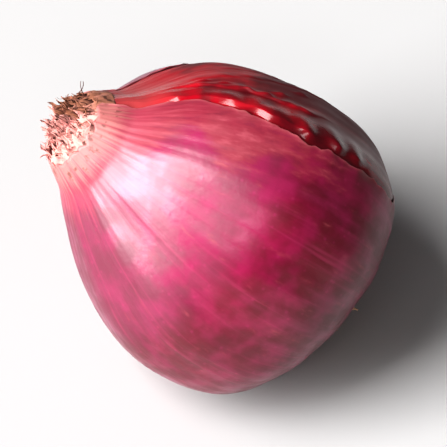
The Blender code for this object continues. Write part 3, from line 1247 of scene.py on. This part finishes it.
@dataclass
class OuterSkin(Growth):
    """The papery outer skin: a thin sheet that wraps the bulb from one edge of the tear round to the other.

    Attributes:
        tear: The window that is torn out of it.
        crowding: How much closer its columns are at the torn edges, from zero to one.
        root_ring: Radius of its edge round the roots.
        root_edge: How that edge strays, round the axis.
        short: How far below the neck's rim it ends.
        neck_edge: How its edge in the neck strays.
        facing: The angle that faces the camera; away from it, shade is painted into the colour.
        painted_shade_reach: Angles from there where the painted shade starts, and where it is deepest.
        dry_reach: Width of the dry band along the near edge at the belly.
        dry_waver: How that width varies, as a share of it.
        dry_growth: How much wider it is by the neck, as a share.
        dry_widens: Heights between which it widens.
        dry_shows: Heights between which it comes up.
        bands: Each colour band's name, with the heights where it starts and is full.
        root_band: Radii between which the ring round the roots comes up.
        rim_reach: Width of the pale rim on both torn edges.
        lift: How far a torn edge stands off, over lift_reach.
        lip: How much further its very edge curls up, over lip_reach.
    """

    tear: Tear
    rows: int = 136
    columns: int = 340
    crowding: float = 0.78
    thickness: float = 0.12 * MM
    root_ring: float = 2.9 * MM
    root_edge: Ripple = Ripple(41, 0.5, depth=0.35 * MM)
    short: float = 0.30 * MM
    neck_edge: Ripple = Ripple(42, 0.30, 14, 0.20 * MM)
    facing: float = math.radians(-27)
    painted_shade_reach: tuple[float, float] = (math.radians(28), math.radians(72))
    dry_reach: float = 3.6 * MM
    dry_waver: Ripple = Ripple(45, 5.0 * MM, depth=0.18)
    dry_growth: float = 0.55
    dry_widens: tuple[float, float] = (3.0 * MM, 10.0 * MM)
    dry_shows: tuple[float, float] = (-4.0 * MM, 8.0 * MM)
    bands: tuple[tuple[str, float, float], ...] = (
        ("neck", 12.8 * MM, 19.2 * MM),
        ("belly", 8.0 * MM, -6.0 * MM),
    )
    root_band: tuple[float, float] = (6.2 * MM, 3.2 * MM)
    rim_reach: float = 0.14 * MM
    lift: float = 0.07 * MM
    lift_reach: float = 0.9 * MM
    lip: float = 0.14 * MM
    lip_reach: float = 0.26 * MM

    def build(self) -> None:
        """Makes the sheet, its columns crowded towards the torn edges, which lift and curl into a lip."""
        line, radii, heights = self.form.section()
        share = np.linspace(0.0, 1.0, self.rows)[:, None]
        even = np.linspace(0.0, 1.0, self.columns)[None, :]
        column = even - self.crowding * np.sin(TURN * even) / TURN
        ring = about_axis(TURN * column[0], 1.0, 0.0)[:, :2]
        under = slice(self.form.base_points)
        start = np.interp(self.root_ring, radii[under], line[under]) + self.root_edge(ring)
        end = line[-1] - self.short + self.neck_edge(ring)
        stations = start[None, :] + share * (end - start)[None, :]
        radius = np.interp(stations, line, radii)
        height = np.interp(stations, line, heights)
        near, far = self.tear.smooth_edges(height)
        near_strays, far_strays = self.tear.ragged(height, radius)
        around = far + column * (TURN + near - far)
        around = around + column**12 * near_strays + (1.0 - column) ** 12 * far_strays
        from_far = (around - far - far_strays) * radius
        from_near = (near + near_strays + TURN - around) * radius
        opened = self.tear.opened(height)
        lift = self.edge_lift(from_near, height, 43) + 0.7 * self.edge_lift(from_far, height, 44)
        points = self.form.surface(around, radius, height, proud=opened * lift)
        band = self.dry_reach * (1.0 + self.dry_waver(height[..., None]))
        band = band * (1.0 + self.dry_growth * smooth_step(height, *self.dry_widens))
        shows = opened * smooth_step(height, *self.dry_shows)
        torn = np.exp(-from_near / self.rim_reach) + np.exp(-from_far / self.rim_reach)
        fields = {name: smooth_step(height, start, full) for name, start, full in self.bands}
        fields |= {
            "dry": shows * (1.0 - smooth_step(from_near / band, 0.5, 1.15)),
            "rim": opened * np.clip(torn, 0.0, 1.0),
            "foot": smooth_step(radius, *self.root_band) * (height < 0.0),
            # Painted shade, which the finish lays into the colour.
            "depth": self.depth(around, fields["belly"]),
            "grain": self.form.grain(around, height),
        }
        piece = grid_piece("outer_skin", self.pose.placed(points), fields, closed=False)
        thicken(piece, self.thickness)
        settle(piece, Node.BULB, SkinFinish().material())

    def depth(self, around: np.ndarray, belly: np.ndarray) -> np.ndarray:
        """Where the colour is deeper: low down on the side that faces the camera, high up on the others.

        Args:
            around: Angles round the axis.
            belly: How far down the belly each point is, from zero to one.

        Returns:
            A share of painted shade to add to the mottling: a blend of the belly's share and a smooth step of
            the cosine.
        """
        clear, deep = (math.cos(angle) for angle in self.painted_shade_reach)
        away = smooth_step(np.cos(around - self.facing), clear, deep)
        # Painted shade: low down on the side that faces the camera, and high up on the sides away from it.
        return 0.36 * belly * (1.0 - 0.85 * away) + 0.42 * away * (1.0 - 0.9 * belly)

    def edge_lift(self, distance: np.ndarray, height: np.ndarray, seed: int) -> np.ndarray:
        """How far a torn edge stands off the scale under it.

        Args:
            distance: Distance to the edge.
            height: Heights along the axis, which vary the lift along the edge.
            seed: Picks the variation.

        Returns:
            A wide, low lift plus a narrow curled lip, each fading exponentially away from the edge.
        """
        line = height[..., None]
        loose = np.clip(0.45 + 0.8 * Ripple(seed, 3.4 * MM)(line), 0.0, 2.0)
        curled = np.clip(0.55 + 0.55 * Ripple(seed + 10, 1.9 * MM)(line), 0.1, 1.4)
        lift = self.lift * loose * np.exp(-distance / self.lift_reach)
        return lift + self.lip * curled * np.exp(-distance / self.lip_reach)


@dataclass(frozen=True)
class Sheath:
    """One dried leaf end.

    Attributes:
        share: Its radius, as a share of the neck's cone.
        notch: Height of its deepest notch.
        tip: Height of its longest tooth.
        teeth: How many teeth it has.
    """

    share: float
    notch: float
    tip: float
    teeth: int


@dataclass
class DriedNeck(Growth):
    """The dried leaf ends in the neck: nested ragged sheaths round a dark core, with a tangle of fibres.

    Attributes:
        foot: Height where the sheaths start, inside the neck.
        cone_top: Height above which the sheaths don't narrow further.
        crumple_length: Height that counts as much as the circle's radius in the crumples' patterns.
        curl: How far inwards the teeth curl.
        core_foot: Height of the core's underside.
        core_top: Height of its middle, before its lumps.
        core_fall: How far its edge is below its middle.
        tallest: Height that no fibre passes.
        fibre_foot: Height where the middle fibres start.
        fibre_fall: How much lower the outermost ones start.
        fibre_ring: Radius of the circle that the fibres grow in.
        painted_shade_side: The angle where the ends are browner and darker: painted shade, over some browning
            of their own.
    """

    rows: int = 20
    columns: int = 360
    foot: float = 17.6 * MM
    cone_top: float = 20.4 * MM
    crumple_length: float = 5.0 * MM
    curl: float = 0.12 * MM
    thickness: float = 0.08 * MM
    sheaths: tuple[Sheath, ...] = (
        Sheath(0.97, 19.0 * MM, 20.2 * MM, 44),
        Sheath(0.87, 19.2 * MM, 21.2 * MM, 36),
        Sheath(0.71, 19.5 * MM, 21.7 * MM, 30),
        Sheath(0.53, 19.8 * MM, 22.0 * MM, 22),
        Sheath(0.33, 19.9 * MM, 22.1 * MM, 14),
    )
    core_foot: float = 17.9 * MM
    core_top: float = 19.9 * MM
    core_radius: float = 3.0 * MM
    core_fall: float = 1.3 * MM
    core_lumps: Ripple = Ripple(120, 1.1 * MM, 12, 0.22 * MM)
    fibres: int = 260
    fibre_radius: float = 0.065 * MM
    fibre_length: tuple[float, float] = (1.1 * MM, 2.6 * MM)
    fibre_foot: float = 19.5 * MM
    fibre_fall: float = 1.0 * MM
    fibre_ring: float = 3.55 * MM
    fibre_rings: int = 11
    tallest: float = 22.2 * MM
    painted_shade_side: float = math.radians(55)

    def build(self) -> None:
        """Makes the sheaths, the core and the fibres."""
        paper = PaperFinish().material()
        made = [self.sheath(number, sheath) for number, sheath in enumerate(self.sheaths)]
        for piece in (*made, self.core(), self.tangle()):
            settle(piece, Node.DRY_NECK, paper)

    def sheath(self, number: int, sheath: Sheath) -> bpy.types.Object:
        """Makes one sheath.

        Its radius is a share of the neck's cone with a crumple that grows to its edge, and its upper edge
        is a line through random teeth, which curl.

        Args:
            number: Which sheath this is, from the outside in.
            sheath: Its sizes.

        Returns:
            The sheath's object.
        """
        draw = np.random.default_rng(50 + number)
        around = TURN * np.arange(self.columns) / self.columns
        knots = np.sort(draw.uniform(0.0, TURN, 2 * sheath.teeth))
        peaks = np.arange(2 * sheath.teeth) % 2
        teeth = np.where(peaks, draw.uniform(0.25, 1.0, peaks.size), draw.uniform(0.0, 0.4, peaks.size))
        edge = sheath.notch + (sheath.tip - sheath.notch) * np.interp(around, knots, teeth, period=TURN)
        up = np.linspace(0.0, 1.0, self.rows)[:, None]
        height = self.foot + up * (edge - self.foot)[None, :]
        place = about_axis(around, 1.0, height / self.crumple_length)
        crumple = Ripple(60 + number, 0.7, 12, 0.16 * MM)(place)
        crumple = crumple + Ripple(70 + number, 0.25, 12, 0.09 * MM)(place)
        curl = up**3 * (Ripple(80 + number, 0.5, 12, 0.34 * MM)(place) - self.curl)
        cone = self.form.cone_radius(np.minimum(height, self.cone_top))
        radius = sheath.share * cone + crumple * (0.3 + up) + curl
        points = about_axis(around, radius, height)
        inner, second = number > 0, number % 2
        # Darker towards the foot of the inner sheaths, deep in the neck, and on one side with painted shade.
        darkening = 1.7 * (1.0 - up) ** 1.5 * inner + 0.25 * second + self.browning_and_painted_shade(around)[None, :]
        fields = {"along": darkening, "grain": self.form.grain(around[None, :], height)}
        piece = grid_piece(f"leaf_sheath_{number + 1}", self.laid(points), fields)
        thicken(piece, self.thickness)
        return piece

    def browning_and_painted_shade(self, around: np.ndarray) -> np.ndarray:
        """How much browner and darker the ends are on one side: painted shade, over some browning of their
        own.
        """
        return 1.30 * smooth_step(np.cos(around - self.painted_shade_side), -0.1, 0.9)

    def core(self) -> bpy.types.Object:
        """Makes the dark, shrunken core that closes the neck behind the sheaths.

        Returns:
            The core's object: a lumpy dome that falls with the square of the radius, over a shallow cone.
        """
        out, around, flat = disc(self.core_radius, 18, 60)
        height = self.core_top - self.core_fall * out**2 + self.core_lumps(flat) * (1.0 - out**4)
        points = np.concatenate([flat, height[..., None]], axis=-1)[::-1]
        fields = {"along": np.full(height.shape, 2.2), "grain": self.form.grain(around, height[::-1])}
        poles = self.poles(self.core_foot, self.core_top)
        return grid_piece("neck_core", self.laid(points), fields, poles=poles)

    def tangle(self) -> bpy.types.Object:
        """Makes the fibres.

        Each is a thin tapered tube whose direction starts near the neck's own and turns steadily towards a
        random one, while a sine wave makes it wriggle. The steps along it are summed into its spine.

        Returns:
            The fibres' object.
        """
        draw = np.random.default_rng(90)
        count = self.fibres
        along = np.linspace(0.0, 1.0, self.fibre_rings)
        around = draw.uniform(0.0, TURN, count)
        share = np.sqrt(draw.uniform(0.02, 1.0, count))
        outwards = about_axis(around, 1.0, 0.0)
        foot = outwards * (self.fibre_ring * share)[:, None]
        foot[:, 2] = self.fibre_foot - self.fibre_fall * share**2
        way = np.array([0.0, 0.0, 1.0]) + 0.35 * draw.normal(size=(count, 3))
        way = way - outwards * (self.fibre_ring / (9 * MM) * share)[:, None]
        aim = draw.normal(size=(count, 3)) - 0.5 * outwards
        bend = 1.3 * aim[:, None, :] * (along**1.2)[None, :, None]
        phases = draw.uniform(0.0, TURN, (count, 1, 3))
        pace = draw.uniform(0.6, 2.0, (count, 1, 1))
        wriggle = 0.45 * np.sin(TURN * along[None, :, None] * pace + phases)
        length = draw.uniform(*self.fibre_length, count)
        spines = strands(foot, way, bend, wriggle, length)
        spines[..., 2] = np.minimum(spines[..., 2], self.tallest)
        thickness = self.fibre_radius * draw.uniform(0.5, 1.5, count)
        radii = thickness[:, None] * (1.0 - 0.6 * along)[None, :]
        # Darker towards each fibre's foot, deep in the neck, and on one side with painted shade.
        darkening = draw.uniform(0.0, 0.9, count)[:, None] + 1.3 * (1.0 - along[None, :]) ** 2
        darkening = darkening + self.browning_and_painted_shade(around)[:, None]
        return tube_piece("neck_fibres", self.laid(spines), radii, 5, {"along": darkening})


@dataclass
class RootTuft(Growth):
    """The corky root plate under the base, and the wiry dried rootlets that leave it.

    Attributes:
        plate_drop: How far the plate's middle stands out from the base.
        plate_top: How far above the base its flat top is, inside the bulb.
        knobs: The cork's coarse knobs, and its fine ones.
        golden: The golden section of a turn, from one rootlet to the next.
        rooted: Share of the plate's radius that the rootlets grow on.
        buried: How far inside the plate they start.
        splay: How far the outermost lean outwards.
        splay_spread: How much the lean varies from one to the next.
    """

    plate_radius: float = 3.0 * MM
    plate_drop: float = 0.55 * MM
    plate_top: float = 0.9 * MM
    plate_rows: int = 26
    plate_columns: int = 72
    knobs: tuple[Ripple, Ripple] = (
        Ripple(101, 1.0 * MM, 14, 0.16 * MM),
        Ripple(102, 0.45 * MM, 14, 0.07 * MM),
    )
    rootlets: int = 86
    rootlet_radius: float = 0.125 * MM
    rootlet_length: tuple[float, float] = (1.5 * MM, 3.4 * MM)
    golden: float = 0.381966
    rooted: float = 0.88
    buried: float = 0.25 * MM
    splay: float = math.radians(52)
    splay_spread: float = math.radians(11)
    rings: int = 12

    def build(self) -> None:
        """Makes the plate and the rootlets."""
        settle(self.plate(), Node.ROOT_TUFT, RootFinish("root_plate_cork").material())
        settle(self.tuft(), Node.ROOT_TUFT, RootFinish("rootlet_fibre").material())

    def drop(self, out: np.ndarray) -> np.ndarray:
        """How far the plate's smooth dome stands out from the base, by the share of its radius."""
        return self.plate_drop * (1.0 - out**2.5)

    def plate(self) -> bpy.types.Object:
        """Makes the plate: a low, knobbly dome below the base, closed by a flat top inside the bulb.

        Returns:
            The plate's object. The knobs fade to nothing at its edge.
        """
        base = -self.form.base_depth
        top = base + self.plate_top
        out, _, flat = disc(self.plate_radius, self.plate_rows, self.plate_columns)
        knobs = self.knobs[0](flat) + self.knobs[1](flat)
        height = base - self.drop(out) - knobs * (1.0 - out**6)
        dome = np.concatenate([flat, height[..., None]], axis=-1)
        rim = np.concatenate([flat[-1], np.full((self.plate_columns, 1), top)], axis=-1)
        points = np.concatenate([dome, rim[None]])
        fields = {"along": np.zeros(points.shape[:2])}
        poles = self.poles(base - self.plate_drop, top)
        return grid_piece("root_plate", self.laid(points), fields, poles=poles)

    def tuft(self) -> bpy.types.Object:
        """Makes the rootlets.

        Each starts on the plate and leans outwards in proportion to its distance from the middle. Its
        direction turns steadily towards a random one while sine waves make it wriggle. Each is a golden
        section of a turn from the one before, which spreads them evenly.

        Returns:
            The rootlets' object.
        """
        draw = np.random.default_rng(110)
        count = self.rootlets
        along = np.linspace(0.0, 1.0, self.rings)
        around = TURN * (np.arange(count) * self.golden + draw.uniform(-0.04, 0.04, count))
        out = np.sqrt((np.arange(count) + 0.5) / count)
        outwards = about_axis(around, 1.0, 0.0)
        foot = outwards * (out * self.rooted * self.plate_radius)[:, None]
        foot[:, 2] = self.buried - self.form.base_depth - self.drop(self.rooted * out)
        splay = out * self.splay + draw.normal(0.0, self.splay_spread, count)
        down = np.array([0.0, 0.0, -1.0])
        way = outwards * np.sin(splay)[:, None] + down * np.cos(splay)[:, None]
        curl = draw.normal(0.0, 1.0, (count, 3)) + 0.5 * outwards
        bend = curl[:, None, :] * (0.9 * along**1.4)[None, :, None]
        length = draw.uniform(*self.rootlet_length, count)

        def wave() -> np.ndarray:
            """A sine wave along each rootlet, of its own pace and start."""
            pace, start = draw.uniform(0.8, 2.2, (count, 1)), draw.uniform(0, 6, (count, 1))
            return np.sin(TURN * along[None, :] * pace + start)

        wriggle = 0.25 * np.stack([wave() for _ in range(3)], axis=-1)
        spines = strands(foot, way, bend, wriggle, length)
        thickness = self.rootlet_radius * draw.uniform(0.7, 1.35, count)
        radii = thickness[:, None] * (1.0 - 0.62 * along**1.3)[None, :]
        fields = {"along": np.broadcast_to(along, radii.shape)}
        return tube_piece("rootlets", self.laid(spines), radii, 6, fields)


@dataclass(frozen=True)
class Lamp:
    """A soft rectangular light.

    Attributes:
        name: Its name.
        way: Its direction from the onion, as shares of the camera's right, up and back.
        away: Its distance.
        size: Its width and height.
        power: Its power in watts.
    """

    name: str
    way: tuple[float, float, float]
    away: float
    size: tuple[float, float]
    power: float


@dataclass
class Studio:
    """The plain pale floor, the soft lights and the camera.

    Attributes:
        azimuth: The camera's angle round the onion.
        elevation: Its angle above the floor.
        distance: Its distance from its aim.
        seen_width: Width that it sees there.
        sensor: Width of its sensor, in millimetres.
        aim: The point that it and the lights face.
        world_strength: How bright the surroundings are.
        tone_gamma: The view's gamma, which deepens the shadows.
        tone_exposure: The view's exposure, which makes up for that.
        floor_reach: Half the floor's width.
        lamps: A wide light for the sheen, and a small one near the camera for the folds' short glints.
    """

    azimuth: float = math.radians(7)
    elevation: float = math.radians(52)
    distance: float = 0.60
    seen_width: float = 42.0 * MM
    sensor: float = 36.0
    aim: tuple[float, float, float] = (0.87 * MM, -0.72 * MM, 14.55 * MM)
    world_strength: float = 0.12
    tone_gamma: float = 0.86
    tone_exposure: float = 0.16
    floor_reach: float = 1.5
    lamps: tuple[Lamp, ...] = (
        Lamp("key", (-0.74, 0.12, 0.66), 2.2, (1.23, 3.08), 194.0),
        Lamp("glint", (-0.15, -0.12, 0.98), 1.0, (0.40, 0.12), 1.2),
    )

    def axes(self) -> tuple[Vector, Vector, Vector]:
        """The camera's own directions in the frame.

        Returns:
            Unit vectors to the right, up, and back towards the camera.
        """
        right = Vector((math.cos(self.azimuth), math.sin(self.azimuth), 0.0))
        level = Vector((math.sin(self.azimuth), -math.cos(self.azimuth), 0.0))
        back = level * math.cos(self.elevation) + Vector((0.0, 0.0, math.sin(self.elevation)))
        return right, back.cross(right), back

    def build(self) -> None:
        """Sets up the floor, the camera, the lights and the surroundings."""
        self.floor()
        self.camera()
        for lamp in self.lamps:
            self.light(lamp)
        world = bpy.data.worlds.new("studio")
        world.use_nodes = True
        surroundings = world.node_tree.nodes["Background"]
        surroundings.inputs["Color"].default_value = (1.0, 0.98, 0.98, 1.0)
        surroundings.inputs["Strength"].default_value = self.world_strength
        bpy.context.scene.world = world
        tone = bpy.context.scene.view_settings
        tone.view_transform = "Standard"
        tone.gamma = self.tone_gamma
        tone.exposure = self.tone_exposure

    def floor(self) -> None:
        """Makes the floor: a wide square at the height that the onion rests on."""
        reach = self.floor_reach
        corners = [(-reach, -reach, 0.0), (reach, -reach, 0.0), (reach, reach, 0.0), (-reach, reach, 0.0)]
        mesh = bpy.data.meshes.new("floor")
        mesh.from_pydata(corners, [], [(0, 1, 2, 3)])
        mesh.materials.append(FloorFinish().material())
        floor = bpy.data.objects.new("floor", mesh)
        bpy.context.scene.collection.objects.link(floor)

    def camera(self) -> None:
        """Puts the camera at the photograph's angle, far off with a long lens."""
        _, _, back = self.axes()
        data = bpy.data.cameras.new("camera")
        data.sensor_width = self.sensor
        data.lens = self.sensor * self.distance / self.seen_width
        data.clip_start = 0.01
        bpy.context.scene.camera = self.aimed("camera", data, back * self.distance)

    def light(self, lamp: Lamp) -> None:
        """Adds a light.

        Args:
            lamp: Its place, size and power.
        """
        towards = sum((axis * share for axis, share in zip(self.axes(), lamp.way)), Vector())
        data = bpy.data.lights.new(lamp.name, "AREA")
        data.shape = "RECTANGLE"
        data.size, data.size_y = lamp.size
        data.energy = lamp.power
        self.aimed(lamp.name, data, towards.normalized() * lamp.away)

    def aimed(self, name: str, data: bpy.types.ID, offset: Vector) -> bpy.types.Object:
        """Makes the object of a camera or light.

        Args:
            name: Its name.
            data: The camera or light.
            offset: Its place from the aim, which it faces.

        Returns:
            The object, linked to the scene.
        """
        made = bpy.data.objects.new(name, data)
        bpy.context.scene.collection.objects.link(made)
        turn = (-offset).to_track_quat("-Z", "Y").to_matrix().to_4x4()
        made.matrix_world = Matrix.Translation(Vector(self.aim) + offset) @ turn
        return made


def main() -> None:
    """Builds the studio and the onion's pieces in order."""
    logging.basicConfig(level=logging.INFO, format="%(message)s")
    form = BulbForm()
    pose = BulbPose.over_frame(form)
    tear = Tear()
    LOG.info("equator's middle at %s mm", [round(value / MM, 2) for value in pose.origin])
    Studio().build()
    InnerScale(form, pose, tear).build()
    OuterSkin(form, pose, tear).build()
    DriedNeck(form, pose).build()
    RootTuft(form, pose).build()


if __name__ == "__main__":
    main()
